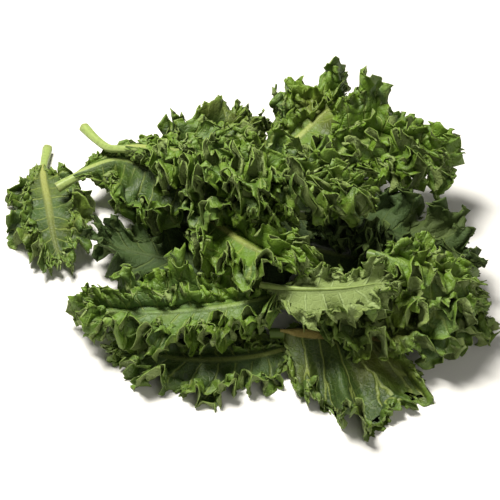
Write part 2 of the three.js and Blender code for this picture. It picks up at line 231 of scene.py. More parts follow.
def grid_corners(rows, columns):
    """The first corner of each square in a grid of points that are numbered row by row."""
    return (np.arange(rows - 1)[:, None] * columns + np.arange(columns - 1)).ravel()


def grid_triangles(rows, columns):
    a = grid_corners(rows, columns)
    return np.concatenate([np.stack([a, a + 1, a + columns], 1),
                           np.stack([a + 1, a + columns + 1, a + columns], 1)])


# The heap's height map, in square cells. At first it lies so low that a margin may be pressed flat.
CELL, MAP_HALF = 2, 300
MAP_CELLS = 2 * MAP_HALF // CELL
heap_top = np.full((MAP_CELLS, MAP_CELLS), float(-LAYER_GAP - PRESS))


def over_triangles(points, triangles):
    """Sample points on the triangles, no further apart than a cell, with the triangle each is on."""
    corners = points[triangles]
    sides = np.linalg.norm(corners - np.roll(corners, 1, axis=1), axis=2).max(axis=1)
    steps = np.ceil(sides / CELL).astype(int) + 1
    for count in np.unique(steps):
        which = np.flatnonzero(steps == count)
        i, j = (n.ravel() for n in np.meshgrid(np.arange(count + 1), np.arange(count + 1), indexing="ij"))
        i, j = i[i + j <= count] / count, j[i + j <= count] / count
        shares = np.stack([1 - i - j, i, j], 1)
        yield np.einsum("sc,tcx->tsx", shares, corners[which]), triangles[which]


def cells(points):
    """The row and the column of the height map's cell that each point is in."""
    x, y = (np.floor((points[..., k] + MAP_HALF) / CELL).astype(int) for k in (0, 1))
    return np.clip(y, 1, MAP_CELLS - 2), np.clip(x, 1, MAP_CELLS - 2)


def highest_near():
    """The height map with each cell as high as the highest of the nine around it."""
    padded = np.pad(heap_top, 1, constant_values=-np.inf)
    return np.max([padded[a:a + MAP_CELLS, b:b + MAP_CELLS] for a in range(3) for b in range(3)], axis=0)


def needed_rise(points, triangles, owners, near, lowest=-np.inf):
    """How far each owner of some of the points has to rise for its triangles to clear the heap."""
    need = np.zeros(owners[-1] + 1)
    for p, t in over_triangles(points, triangles):
        rise = (np.maximum(near[cells(p)] + LAYER_GAP, lowest) - p[..., 2]).max(axis=1)
        for corner in range(3):
            np.maximum.at(need, owners[t[:, corner]], rise)
    return need


STIFFNESS, RIB_STIFFNESS = 7, 24


def lay_down(leaf):
    """Finds how far each point of the leaf's coarse grid, and each station of its rib, rises in the heap."""
    first = rib_frame(leaf, np.zeros(1))
    f = rib_frame(leaf, np.arange(-first["before"], first["stations"] + 1.0))
    blade = rib_frame(leaf, np.arange(0, first["stations"] + 1.0))
    grid = np.stack(coarse_half(leaf, -1, blade)[::-1] + coarse_half(leaf, 1, blade), 1)
    rows, columns = grid.shape[:2]
    flat, triangles = grid.reshape(-1, 3), grid_triangles(rows, columns)
    depth = 2 * f["radius"] + STALK_CLEAR + SHEET / 2

    def strip_at(rise):
        edges = [f["at"] + f["right"] * (side * f["radius"])[:, None] + f["up"] * rise[:, None]
                 for side in (-1, 1)]
        return np.stack(edges, 1).reshape(-1, 3)

    face_down = leaf.get("face_down")
    lowest = strip_at(np.zeros_like(depth) if face_down else -depth)
    highest = strip_at(depth if face_down else np.zeros_like(depth))
    strip = grid_triangles(len(depth), 2)

    near = highest_near()
    need = needed_rise(flat, triangles, np.arange(len(flat)), near).reshape(rows, columns)
    rib_need = needed_rise(lowest, strip, np.arange(len(lowest)) // 2, near, lowest=0)
    wide = np.concatenate([[0], rib_need, [0]])
    rib_floor = np.max([wide[:-2], wide[1:-1], wide[2:]], axis=0)
    lift, rib_lift = need.copy(), rib_floor.copy()
    left = columns // 2 - 1
    for _ in range(STIFFNESS):
        own = np.zeros(len(depth))
        own[-rows:] = lift[:, left:left + 2].max(axis=1)
        for _ in range(RIB_STIFFNESS):
            wide = np.pad(rib_lift, 1, mode="edge")
            rib_lift = np.maximum(np.maximum(rib_floor, own), (wide[:-2] + wide[2:]) / 2)
        wide = np.pad(lift, 1, mode="edge")
        mean = (wide[:-2, 1:-1] + wide[2:, 1:-1] + wide[1:-1, :-2] + wide[1:-1, 2:]) / 4
        lift = np.maximum(need, mean)
        lift[:, left] = lift[:, left + 1] = rib_lift[-rows:]
    flat = flat.copy()
    flat[:, 2] = np.maximum(flat[:, 2] + lift.ravel(), SHEET / 2)
    highest[:, 2] += np.repeat(rib_lift, 2)
    for surface, faces in ((flat, triangles), (highest, strip)):
        for p, _ in over_triangles(surface, faces):
            np.maximum.at(heap_top, cells(p), p[..., 2])
    leaf.update(lift=lift, rib_lift=rib_lift, before=first["before"], stations=first["stations"], lain=flat)


for number, leaf in enumerate(LEAVES):
    leaf["number"] = number
    lay_down(leaf)

# The heap's middle is the frame's origin, so each leaf moves over as the CAD solids did.
moves = []
for leaf in LEAVES:
    low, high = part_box(leaf["name"] + "_leaf_blade")
    middle = (leaf["lain"].min(axis=0) + leaf["lain"].max(axis=0)) / 2
    moves.append((np.array(low) + np.array(high)) / 2 * 1000 - middle)
heap_shift = np.median(moves, axis=0) * (1, 1, 0)


# The finish of every leaf. Kale is a waxy, slightly bluish dark green on top, duller and paler below, with
# pale veins that fork towards the margin, a fine net between them and a thin light edge. Some leaves, most
# of them in the heap's hollows, get painted shade: a darker colour standing in for light that doesn't reach
# them. The lighter frills near the margin are partly painted light on the curls, and an old leaf yellows,
# with a tan rib.
def operator(operation):
    """The method that adds a Math node to a wire, and its reflected form, which has the wire second."""
    def forward(self, other):
        return self.nodes.math(operation, self, other)

    def reflected(self, other):
        return self.nodes.math(operation, other, self)

    return forward, reflected


class Wire:
    """One output of a node. An expression on wires and numbers adds the Math nodes that it needs."""

    def __init__(self, nodes, socket):
        self.nodes, self.socket = nodes, socket

    __add__, __radd__ = operator("ADD")
    __sub__, __rsub__ = operator("SUBTRACT")
    __mul__, __rmul__ = operator("MULTIPLY")
    __truediv__, __rtruediv__ = operator("DIVIDE")


class Nodes:
    """A node tree, to which each call of node adds one node and gives the wire of one of its outputs."""

    def __init__(self, tree):
        self.tree = tree

    def node(self, kind, settings, sockets, output=0):
        made = self.tree.nodes.new(kind)
        for name, value in settings.items():
            setattr(made, name, value)
        for name, value in sockets.items():
            self.put(made.inputs[name], value)
        return Wire(self, made.outputs[output])

    def put(self, socket, value):
        if isinstance(value, Wire):
            self.tree.links.new(value.socket, socket)
        else:
            socket.default_value = value

    def math(self, operation, *values):
        return self.node("ShaderNodeMath", dict(operation=operation), dict(enumerate(values)))


NOISE_ROUGHNESS = 0.55


class Finish(Nodes):
    """A material: its principled shader's sockets, and the nodes that leaves and stalks share."""

    def __init__(self, name):
        self.material = bpy.data.materials.new(name)
        self.material.use_nodes = True
        super().__init__(self.material.node_tree)
        self.shader = self.tree.nodes["Principled BSDF"].inputs

    def place(self):
        return self.node("ShaderNodeTexCoord", {}, {}, "Object")

    def attribute(self, name):
        return self.node("ShaderNodeAttribute", dict(attribute_name=name), {}, "Fac")

    def noise(self, at, scale, detail):
        return self.node("ShaderNodeTexNoise", {},
                         {"Vector": at, "Scale": scale, "Detail": detail, "Roughness": NOISE_ROUGHNESS})

    def step(self, value, low, high):
        """0 below low and 1 above high, eased between them."""
        return self.node("ShaderNodeMapRange", dict(interpolation_type="SMOOTHSTEP"),
                         {"Value": value, "From Min": low, "From Max": high})

    def mixed(self, mask, first, second):
        settings = dict(data_type="RGBA", clamp_factor=True)
        first, second = (c if isinstance(c, Wire) else (*c, 1) for c in (first, second))
        return self.node("ShaderNodeMix", settings, {0: mask, 6: first, 7: second}, 2)

    def bump(self, height, strength, distance):
        sockets = {"Height": height, "Strength": strength, "Distance": distance}
        self.put(self.shader["Normal"], self.node("ShaderNodeBump", {}, sockets))


TOP_DARK = (0.022, 0.048, 0.004)
TOP_LIGHT = (0.086, 0.165, 0.007)
TOP_BLUE = (0.062, 0.117, 0.03)
YELLOWED = (0.15, 0.155, 0.02)
VEIN = (0.20, 0.25, 0.05)
STALK_GREEN = (0.24, 0.32, 0.08)
RIB_GREEN = (0.19, 0.27, 0.06)
RIB_TAN = (0.45, 0.33, 0.09)
UNDER_LIGHT = (0.17, 0.22, 0.06)
UNDER_DARK = (0.13, 0.185, 0.042)
UNDER_NET = (0.26, 0.34, 0.13)
UNDER_VEIN = (0.32, 0.41, 0.17)
# A lighter green for the frills near the margin: partly the leaf's own, partly painted light on the curls.
FRILL_GREEN_AND_PAINTED_LIGHT = (0.13, 0.225, 0.011)
EDGE_GREEN = (0.24, 0.34, 0.05)
WAX_GLOSS, WAX_ROUGHNESS = 0.5, 0.46
PUCKER_STRENGTH, PUCKER_HEIGHT = 0.7, 0.0014

# Each pattern's scale to the metre, and its detail.
CLOUD, MOTTLE, GRAIN, PUCKERS = (28, 4), (160, 3), (900, 2), (330, 2)
VEIN_RIPPLE, BLUE_PATCHES, YELLOW_PATCHES = (45, 2), (17, 2), (11, 2)
NET_SCALE = 210

# Where each mark starts and ends: in shares of the half blade, then in the patterns' values, then in
# millimetres from the rib, from the foot and from the margin.
FORKS, VEIN_ENDS = (0.35, 1.0), (0.75, 1.0)
VEIN_SIDES, NET_SIDES = (0.35, 1.6), (0.02, 0.13)
# LIT_SHADES are the tone levels below which a leaf is given painted shade.
LIGHT_SIDES, BLUE_SIDES, YELLOW_SIDES, LIT_SHADES = (0.36, 0.66), (0.42, 0.62), (0.55, 0.75), (0, 0.3)
MIDRIB_SIDES, MIDRIB_ENDS, MIDRIB_GREENS = (1.0, 2.6), (5, 110), (0, 70)
FRILL_SIDES, EDGE_SIDES = (2, 12), (0.1, 1.8)
VEIN_WIDTH, VEIN_THINS, FORK_SPREAD = 0.065, 0.035, 0.22
READINGS = ("vein_at", "share", "from_rib", "from_margin", "from_foot", "underside", "tone_and_painted_shade", "yellowed",
            "rib_shown")


def leaf_finish():
    finish = Finish("kale_blade")
    place = finish.place()
    vein_at, share, from_rib, from_margin, from_foot, under, tone_and_painted_shade, yellowed, rib_shown = (
        finish.attribute(reading) for reading in READINGS)
    cloud, mottle, grain, pucker = (finish.noise(place, *kind) for kind in (CLOUD, MOTTLE, GRAIN, PUCKERS))

    # Side veins follow the leaf's stations and fork halfway out, and the halves of a fork move apart.
    ripple = (finish.noise(place, *VEIN_RIPPLE) - 0.5) * 0.5
    aside = finish.math("ABSOLUTE", finish.math("FRACT", vein_at + ripple) - 0.5)
    branch = finish.math("ABSOLUTE", aside - finish.step(share, *FORKS) * FORK_SPREAD)
    width = VEIN_WIDTH - share * VEIN_THINS
    side_vein = (1 - finish.step(branch / width, *VEIN_SIDES)) * (1 - finish.step(share, *VEIN_ENDS) * 0.6)
    net_cells = finish.node("ShaderNodeTexVoronoi", dict(feature="DISTANCE_TO_EDGE"),
                            {"Vector": place, "Scale": NET_SCALE})
    net = (1 - finish.step(net_cells, *NET_SIDES)) * 0.55
    midrib = 1 - finish.step(from_rib - yellowed * 4, *MIDRIB_SIDES)
    midrib = midrib * (1 - finish.step(from_foot, *MIDRIB_ENDS) * 0.75) * rib_shown

    # The upper face, in light, bluish and yellowed patches, and then its veins and its rib. The light
    # patches follow noise and the leaf's tone, which on the listed dark leaves is painted shade, and painted
    # shade tones their bluish patches down.
    light = finish.step(cloud * 0.75 + mottle * 0.25 + (tone_and_painted_shade - 0.5) * 0.6, *LIGHT_SIDES)
    top = finish.mixed(light, TOP_DARK, TOP_LIGHT)
    # 0 on the leaves given painted shade and 1 on the others; the marks below use it to paint shade.
    free_of_painted_shade = finish.step(tone_and_painted_shade, *LIT_SHADES)
    blued = finish.step(finish.noise(place, *BLUE_PATCHES), *BLUE_SIDES)
    top = finish.mixed(blued * (0.2 + free_of_painted_shade * 0.5) * (1 - yellowed * 1.7), top, TOP_BLUE)
    old = finish.step(finish.noise(place, *YELLOW_PATCHES) + yellowed * 0.1, *YELLOW_SIDES)
    top = finish.mixed(old * 0.45, top, YELLOWED)
    top = finish.mixed(net * 0.2, top, VEIN)
    top = finish.mixed(side_vein * (0.4 + yellowed * 0.7), top, VEIN)
    rib_colour = finish.mixed(finish.step(from_foot, *MIDRIB_GREENS), STALK_GREEN, RIB_GREEN)
    rib_colour = finish.mixed(yellowed * 1.6, rib_colour, RIB_TAN)
    top = finish.mixed(midrib * (0.9 + yellowed), top, rib_colour)

    # The lower face, and what both have: a light frill, partly the margin's own lighter green and partly
    # painted light on the curls, painted shade that darkens a covered leaf, and a thin light edge, which is
    # dimmed on a shaded leaf.
    below = finish.mixed(cloud, UNDER_LIGHT, UNDER_DARK)
    below = finish.mixed(net * 0.4, below, UNDER_NET)
    below = finish.mixed(side_vein * 0.45, below, UNDER_VEIN)
    colour = finish.mixed(under, top, below)
    # Near the margin of the upper face: partly the leaf's own lighter green, partly painted light on the
    # curls.
    frill_and_painted_light = (1 - finish.step(from_margin, *FRILL_SIDES)) * (1 - under)
    colour = finish.mixed(frill_and_painted_light * (0.2 + free_of_painted_shade * 0.25), colour, FRILL_GREEN_AND_PAINTED_LIGHT)
    # Painted shade: a covered leaf's colour is pulled most of the way towards the darkest green.
    colour = finish.mixed((1 - free_of_painted_shade) * 0.7, colour, TOP_DARK)
    edge = (1 - finish.step(from_margin, *EDGE_SIDES)) * (mottle * 0.9)
    colour = finish.mixed(edge * (0.2 + free_of_painted_shade * 0.3), colour, EDGE_GREEN)
    finish.put(finish.shader["Base Color"], colour)
    rough = WAX_ROUGHNESS + cloud * 0.12 + grain * 0.1 + under * 0.18 + (1 - free_of_painted_shade) * 0.2
    finish.put(finish.shader["Roughness"], rough)
    finish.put(finish.shader["Specular IOR Level"], WAX_GLOSS)
    height = grain * 0.12 + mottle * 0.5 + pucker * 0.5 - net * 0.5 - side_vein * (1 - under * 2) * 0.9
    finish.bump(height, PUCKER_STRENGTH, PUCKER_HEIGHT)
    return finish.material


blade_finish = leaf_finish()


# The blades. A blade is half a millimetre of leaf: flat and puffed between its side veins near the rib,
# then gathered into folds, curls on the folds and crimps on the curls, because its margin grew longer than
# its middle. Flounces of the same leaf stand up on most blades between the rib and the margin.
FOOT, FOOT_SHARE = 26, 0.08
OTHER_FEET = dict(ridge=52, middle=40, front=9, right_low=8)
POINTED_FOOT, POINT_SHARE = 16, 0.3
FLAT_FOOT = 0.06
TIP_FROM, TIP_NARROWS = 0.78, 0.2


def pointed(f):
    """The share of its width that the strip over the rib has, because the blade starts in a point."""
    return POINT_SHARE + (1 - POINT_SHARE) * smooth(0, POINTED_FOOT, f["from_foot"])


def past_foot(f):
    """0 at the blade's foot, where it is flat, and 1 from a little further on."""
    return smooth(0, FLAT_FOOT, f["t"])


def narrowing_outline(leaf, side, f):
    """The half blade's outline, which narrows towards its foot on the stalk and towards its tip."""
    h = half_outline(leaf, side, f)
    foot = smooth(0, OTHER_FEET.get(leaf["name"], FOOT), f["from_foot"])
    foot = FOOT_SHARE + (1 - FOOT_SHARE) * foot
    tip = 1 - TIP_NARROWS * smooth(TIP_FROM, 1, f["t"])
    for key in ("reach", "frilled", "inner"):
        h[key] = h[key] * foot * tip
    h["beside"] = h["beside"] * pointed(f)
    return h


def eased(values, x):
    """values at the whole numbers, read in between along their first axis as a smooth line."""
    last = len(values) - 1
    low = np.clip(np.floor(x).astype(int), 0, max(last - 1, 0))
    part = (x - low).reshape((-1,) + (1,) * (values.ndim - 1))
    a, b, c, d = (values[np.clip(low + k, 0, last)] for k in (-1, 0, 1, 2))
    return b + part * (c - a + part * (2 * a - 5 * b + 4 * c - d + part * (3 * (b - c) + d - a))) / 2


LEAVES_APART = 3.7


def wander(leaf, use, distance, most, length):
    """A smooth random line along the leaf, up to most either way, that changes over each length."""
    x = distance / length
    whole = np.floor(x)
    part = smooth(0, 1, x - whole)
    here, there = (draw(leaf["number"] * LEAVES_APART + whole + k, use) for k in (0, 1))
    return most * (2 * (here + (there - here) * part) - 1)


CURL_LENGTH, CURL_TILT, CURL_SLIDE, CURL_FROM_MARGIN, CURL_FULL = 10.5, 56, 2.0, 20, 3
CRIMP_LENGTH, CRIMP_TILT, CRIMP_SLIDE, CRIMP_FROM_MARGIN, CRIMP_FULL = 4.8, 76, 1.1, 9.5, 0.5
CURL_MEAN, CRIMP_MEAN = 0.85, 0.95
TIP_LENGTH, TIP_KEEPS = 20, 4
# How far each line wanders, and over what length.
ASKEW, CURL_PHASE, CRIMP_PHASE, CURL_SWELL, CRIMP_SWELL = (2.6, 17), (3.4, 21), (3, 9), (0.5, 12), (0.45, 7)


def gathers(leaf, use, f, depth, to_margin):
    """Tilt in degrees and slide along the leaf in millimetres, from the curls and crimps near a margin."""
    distance = (f["from_foot"] + smooth(TIP_LENGTH, 0, f["to_tip"]) * to_margin) * leaf["finer"]
    to_margin = np.minimum(to_margin, TIP_KEEPS + f["to_tip"])
    askew = wander(leaf, use + 0.1, distance, *ASKEW) * (depth - 2)
    curl = 2 * np.pi * distance / CURL_LENGTH + wander(leaf, use + 0.2, distance, *CURL_PHASE) + askew
    crimp = 2 * np.pi * distance / CRIMP_LENGTH + wander(leaf, use + 0.3, distance, *CRIMP_PHASE) - 2 * askew
    curl_swell = CURL_MEAN + wander(leaf, use + 0.4, distance, *CURL_SWELL)
    crimp_swell = CRIMP_MEAN + wander(leaf, use + 0.5, distance, *CRIMP_SWELL)
    curled = smooth(CURL_FROM_MARGIN, CURL_FULL, to_margin) * curl_swell * past_foot(f)
    crimped = smooth(CRIMP_FROM_MARGIN, CRIMP_FULL, to_margin) * crimp_swell * past_foot(f)
    tilt = CURL_TILT * curled * np.sin(curl) + CRIMP_TILT * crimped * np.sin(crimp)
    return tilt, -CURL_SLIDE * curled * np.sin(2 * curl) - CRIMP_SLIDE * crimped * np.sin(2 * crimp)


STEEPEST_TILT = 118


def tilted(slope, tilt):
    """The slope in radians, with its tilt held under the steepest."""
    return np.radians(slope + STEEPEST_TILT * np.tanh(tilt / STEEPEST_TILT))


LOBE_LENGTH, LOBE_NOTCH = 15, 0.24
SCALLOP_LENGTH, SCALLOP_DEPTH = 4.6, 0.13
LOBE_PHASE, SCALLOP_PHASE, UNEVEN = (1.6, 19), (2, 9), (0.10, 13)


def notched(leaf, use, f):
    """The share of its width that a margin keeps, as rounded lobes with sharp notches between them."""
    distance = f["from_foot"] * leaf["finer"]
    bow = np.abs(np.sin(np.pi * distance / LOBE_LENGTH + wander(leaf, use, distance, *LOBE_PHASE)))
    scallop = np.pi * distance / SCALLOP_LENGTH + wander(leaf, use + 0.3, distance, *SCALLOP_PHASE)
    uneven = SCALLOP_DEPTH * (np.abs(np.sin(scallop)) - 0.5) + wander(leaf, use + 0.5, distance, *UNEVEN)
    return 1 + uneven - LOBE_NOTCH * (1 - bow) ** 2


CRUMPLE_WAVES, CRUMPLE_SHORTEST, CRUMPLE_LONGER, CRUMPLE_GROWTH = 14, 6, 19, 1.5
CRUMPLE_DEPTH, CRUMPLE_ASKEW, CRUMPLE_PHASES = 0.066, 0.3, 9
WAY_DRAW, RISE_DRAW, RIPPLE_DRAW = 31, 51, 91


def crumpled(leaf, points, amount):
    """Points moved by a few broad ripples in every direction, as much as amount says for each column."""
    moved = points.copy()
    for wave in range(CRUMPLE_WAVES):
        turn = 2 * np.pi * draw(leaf["number"] + 0.5, WAY_DRAW + wave)
        rise = np.arccos(2 * draw(leaf["number"] + 0.5, RISE_DRAW + wave) - 1)
        way = np.array([np.cos(turn) * np.sin(rise), np.sin(turn) * np.sin(rise), np.cos(rise)])
        length = CRUMPLE_SHORTEST + CRUMPLE_LONGER * (wave / CRUMPLE_WAVES) ** CRUMPLE_GROWTH
        across = np.roll(way, 1) + CRUMPLE_ASKEW
        phase = CRUMPLE_PHASES * draw(leaf["number"], RIPPLE_DRAW + wave)
        ripple = np.sin(2 * np.pi * (points @ way) / length + phase)
        moved += unit(across) * (CRUMPLE_DEPTH * length * ripple * amount)[..., None]
    return moved


STRIP_STEPS = (2, 4, 5, 8)
STRIP_MIDDLES = (0.5, 1.5, 2.5, 3.5)
FOLD_TILT, FOLD_SLIDE, FOLD_SLIDES = (8, 16, 34, 50), 3.0, (1.6, 4)
PUFF, PUFF_STARTS, PUFF_ENDS = 1.3, (0.04, 0.3), (1.05, 0.6)
CRUMPLE_STARTS = (0.15, 0.6)
VEIN_PERIOD = 1.9
CURL_DRAW, NOTCH_DRAW, VEIN_DRAW = 11, 19, 21


def fine_half(leaf, side, f):
    """Points of half a blade, from beside the rib to the margin, with what the finish reads of each."""
    h = narrowing_outline(leaf, side, f)
    whole = np.arange(leaf["stations"] + 1)
    turn = eased(swell_at(leaf, side, whole), f["j"]) * np.sin(h["fold"])
    drift = eased(drift_at(leaf, side, whole), f["j"])
    notch = notched(leaf, NOTCH_DRAW + side, f)
    p = f["at"] + h["out"] * h["beside"][:, None]
    nowhere = np.zeros_like(f["from_foot"])
    points, gone, out_gone, strips = [p], nowhere, [nowhere], [0.0]
    for strip, steps in enumerate(STRIP_STEPS):
        for step in range(steps):
            c = strip + (step + 0.5) / steps
            length = (h["frilled"] if strip > 1 else h["inner"]) / steps
            if strip > 1:
                length = length * (1 + (notch - 1) * (c - 2))
            slope = slope_at(h, f, (gone + length / 2) / h["reach"])
            curling, slide = gathers(leaf, CURL_DRAW + side, f, c, h["reach"] - gone)
            lobe_tilt, fold_tilt = (np.interp(c, STRIP_MIDDLES, tilts) for tilts in (LOBE_TILT, FOLD_TILT))
            tilt = leaf["frill"] * (lobe_tilt * h["lobe"] + fold_tilt * turn) + leaf["ruffle"] * curling
            p = further_out(p, h, f, length, tilted(slope, tilt))
            slide = slide - FOLD_SLIDE * smooth(*FOLD_SLIDES, c) * past_foot(f) * np.sin(2 * h["fold"])
            if strip > 1:
                p = p + f["along"] * (drift / 2 / steps)[:, None]
            gone = gone + length
            points.append(p + f["along"] * slide[:, None])
            out_gone.append(gone)
            strips.append(strip + (step + 1) / steps)
    points, gone, strips = np.stack(points, 1), np.stack(out_gone, 1), np.array(strips)
    vein_at = f["j"] / VEIN_PERIOD + draw(leaf["number"], VEIN_DRAW + side)
    share = gone / h["reach"][:, None]
    between_veins = PUFF * np.sin(np.pi * vein_at)[:, None] ** 2
    puffed = between_veins * smooth(*PUFF_STARTS, share) * smooth(*PUFF_ENDS, share)
    points = points + f["up"][:, None, :] * puffed[..., None]
    points = crumpled(leaf, points, leaf["frill"] * smooth(*CRUMPLE_STARTS, share) * past_foot(f)[:, None])
    column = 5 + strips if side > 0 else 4 - strips
    points[..., 2] += eased(eased(leaf["lift"], f["j"]).T, column).T
    return dict(
        points=points,
        vein_at=np.broadcast_to(vein_at[:, None], share.shape),
        share=share,
        from_rib=gone + f["radius"][:, None],
        from_margin=np.maximum(h["reach"][:, None] - gone, 0),
        from_foot=f["from_foot"][:, None] + np.zeros_like(share),
    )


FLOUNCE_STEPS = np.array([0, 0.15, 0.3, 0.44, 0.57, 0.68, 0.78, 0.86, 0.93, 1])
FLOUNCE_WIDTH, ON_REACH, FOLLOWS_REACH, FLOUNCE_MEAN = 25, 46, 0.7, 0.85
FLOUNCE_FOLD_LENGTH, FLOUNCE_FOLD_TILT = 23, 44
FLOUNCE_WIDTHS, FLOUNCE_FOLD_PHASE, ASLANT = (0.35, 31), (3, 29), (2.4, 25)
FOLD_STARTS, SLIDE_STARTS, RUMPLE_STARTS = (0, 0.5), (0.2, 1), (0.1, 0.7)
ROOT_SUNK = 0.3
ROOT_SHARE, SHARE_BEYOND = 0.45, 0.55
RUMPLED = 0.9
FLOUNCE_DRAW = 111


def flounce(leaf, side, f, half, root, rises, falls):
    """A frilled strip on a half blade, root columns out from its rib, with its slopes at root and margin."""
    h = narrowing_outline(leaf, side, f)
    use = FLOUNCE_DRAW + 10 * side + root
    distance = f["from_foot"]
    width = FLOUNCE_WIDTH * (h["reach"] / ON_REACH) ** FOLLOWS_REACH
    width = width * (FLOUNCE_MEAN + wander(leaf, use + 1, distance, *FLOUNCE_WIDTHS))
    width = width * notched(leaf, use + 2, f) * leaf["flounce_share"]
    fold = 2 * np.pi * distance / FLOUNCE_FOLD_LENGTH + wander(leaf, use + 3, distance, *FLOUNCE_FOLD_PHASE)
    aslant = wander(leaf, use + 5, distance, *ASLANT)
    p = half["points"][:, root] - f["up"] * ROOT_SUNK
    points, gone = [p], [np.zeros_like(distance)]
    for part, more in zip((FLOUNCE_STEPS[1:] + FLOUNCE_STEPS[:-1]) / 2, np.diff(FLOUNCE_STEPS)):
        curling, slide = gathers(leaf, use + 4, f, 1 + 3 * part, width * (1 - part))
        tilt = FLOUNCE_FOLD_TILT * smooth(*FOLD_STARTS, part) * np.sin(fold + aslant * part) + curling
        length = width * more
        p = further_out(p, h, f, length, tilted(rises + (falls - rises) * part, tilt))
        slide = slide - FOLD_SLIDE * smooth(*SLIDE_STARTS, part) * np.sin(2 * fold)
        points.append(p + f["along"] * slide[:, None])
        gone.append(gone[-1] + length)
    points, gone = np.stack(points, 1), np.stack(gone, 1)
    part = gone / width[:, None]
    return dict(
        points=crumpled(leaf, points, RUMPLED * smooth(*RUMPLE_STARTS, part)),
        vein_at=half["vein_at"][:, :1] + np.zeros_like(part),
        share=ROOT_SHARE + SHARE_BEYOND * part,
        from_rib=gone + half["from_rib"][:, root:root + 1],
        from_margin=width[:, None] - gone,
        from_foot=distance[:, None] + np.zeros_like(part),
    )


RIB_COLUMNS = np.array([-0.6, 0.0, 0.6])
RIB_HUMP = 0.35
RIB_TO_MARGIN = 30


def over_rib(leaf, f):
    """The strip of blade that covers the rib, in three columns of points with their readings."""
    rib_lift = eased(leaf["rib_lift"][leaf["before"]:], f["j"])
    at = f["at"] + np.array([0, 0, 1]) * rib_lift[:, None]
    hump = []
    for place in RIB_COLUMNS:
        aside, above = place * f["radius"] * pointed(f), RIB_HUMP * f["radius"] * (1 - place**2)
        hump.append(at + (f["right"] * aside[:, None] + f["up"] * above[:, None]))
    points = np.stack(hump, 1)
    zero = np.zeros(points.shape[:2])
    return dict(points=points, vein_at=zero, share=zero, from_rib=np.abs(RIB_COLUMNS) * f["radius"][:, None],
                from_margin=zero + RIB_TO_MARGIN, from_foot=zero + f["from_foot"][:, None])


FINE_PER_STATION, COVERED_PER_STATION = 9, 5
COVERED_LEAVES = ("under", "under_left", "under_right")


def blade_surfaces(leaf):
    """The middle surfaces of the blade and its flounces as rows of points, with the finish's readings."""
    per_station = COVERED_PER_STATION if leaf["name"] in COVERED_LEAVES else FINE_PER_STATION * leaf["finer"]
    f = rib_frame(leaf, np.arange(leaf["stations"] * per_station + 1) / per_station)
    left, right = (fine_half(leaf, side, f) for side in (-1, 1))
    rib = over_rib(leaf, f)
    surfaces = [{key: np.concatenate([left[key][:, ::-1], rib[key], right[key]], 1) for key in rib}]
    for side, half, places in zip((-1, 1), (left, right), leaf["flounces"]):
        for root, rises, falls in places:
            made = flounce(leaf, side, f, half, root, rises, falls)
            surfaces.append(made if side > 0 else {key: values[:, ::-1] for key, values in made.items()})
    for surface in surfaces:
        surface["from_margin"] = np.minimum(surface["from_margin"], f["to_tip"][:, None])
    return surfaces


VISIBLE_SHEET = 0.6
CLEAR_OF_WORKTOP, LOWEST_FACE = 0.25, 0.1
NO_AREA = 1e-9


def sheet_of(surface):
    """Both faces and the rim of a sheet, from its middle surface."""
    middle = surface["points"].copy()
    middle[..., 2] = np.maximum(middle[..., 2], CLEAR_OF_WORKTOP + VISIBLE_SHEET / 2)
    rows, columns = middle.shape[:2]
    down_rows, over_columns = np.gradient(middle, axis=0), np.gradient(middle, axis=1)
    normal = unit(np.cross(over_columns, down_rows) + NO_AREA)
    faces = [middle + normal * VISIBLE_SHEET / 2, middle - normal * VISIBLE_SHEET / 2]
    points = np.concatenate([face.reshape(-1, 3) for face in faces])
    points[:, 2] = np.maximum(points[:, 2], LOWEST_FACE)
    a = grid_corners(rows, columns)
    top = np.stack([a, a + 1, a + columns + 1, a + columns], 1)
    other = rows * columns
    edge = np.concatenate([
        np.arange(columns - 1), np.arange(rows - 1) * columns + columns - 1,
        (rows - 1) * columns + np.arange(columns - 1, 0, -1), np.arange(rows - 1, 0, -1) * columns,
    ])
    following = np.roll(edge, -1)
    rim = np.stack([edge, edge + other, following + other, following], 1)
    return points, np.concatenate([top, top[:, ::-1] + other, rim])


def shown(name, data):
    """A new object in the scene, at the origin, for a mesh, a lamp or a camera."""
    made = bpy.data.objects.new(name, data)
    bpy.context.scene.collection.objects.link(made)
    return made


def put_attribute(mesh, key, values):
    made = mesh.attributes.new(key, "FLOAT", "POINT")
    made.data.foreach_set("value", np.ascontiguousarray(values, dtype=np.float32))


def build_blade(leaf):
    points, quads, readings = [], [], {}
    over_all = dict(underside=1 if leaf.get("face_down") else 0, tone_and_painted_shade=leaf["tone_and_painted_shade"],
                    yellowed=leaf["yellowed"], rib_shown=leaf["rib_shown"])
    for surface in blade_surfaces(leaf):
        made, faces = sheet_of(surface)
        quads.append(faces + sum(map(len, points)))
        points.append(made)
        for key, value in over_all.items():
            surface[key] = np.full(surface["share"].shape, value)
        for key in READINGS:
            upper = surface[key].ravel()
            lower = 1 - upper if key == "underside" else upper
            readings.setdefault(key, []).extend([upper, lower])
    points, quads = np.concatenate(points) + heap_shift, np.concatenate(quads)

    name = leaf["name"] + "_leaf_blade_curled"
    mesh = bpy.data.meshes.new(name)
    mesh.vertices.add(len(points))
    mesh.vertices.foreach_set("co", (points / 1000).astype(np.float32).ravel())
    mesh.loops.add(quads.size)
    mesh.loops.foreach_set("vertex_index", quads.astype(np.int32).ravel())
    mesh.polygons.add(len(quads))
    mesh.polygons.foreach_set("loop_start", np.arange(0, quads.size, 4, dtype=np.int32))
    for key, values in readings.items():
        put_attribute(mesh, key, np.concatenate(values))
    mesh.update(calc_edges=True)
    mesh.shade_smooth()
    mesh.materials.append(blade_finish)
    piece = shown(name, mesh)
    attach(piece, "root")
    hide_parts(leaf["name"] + "_leaf_blade")


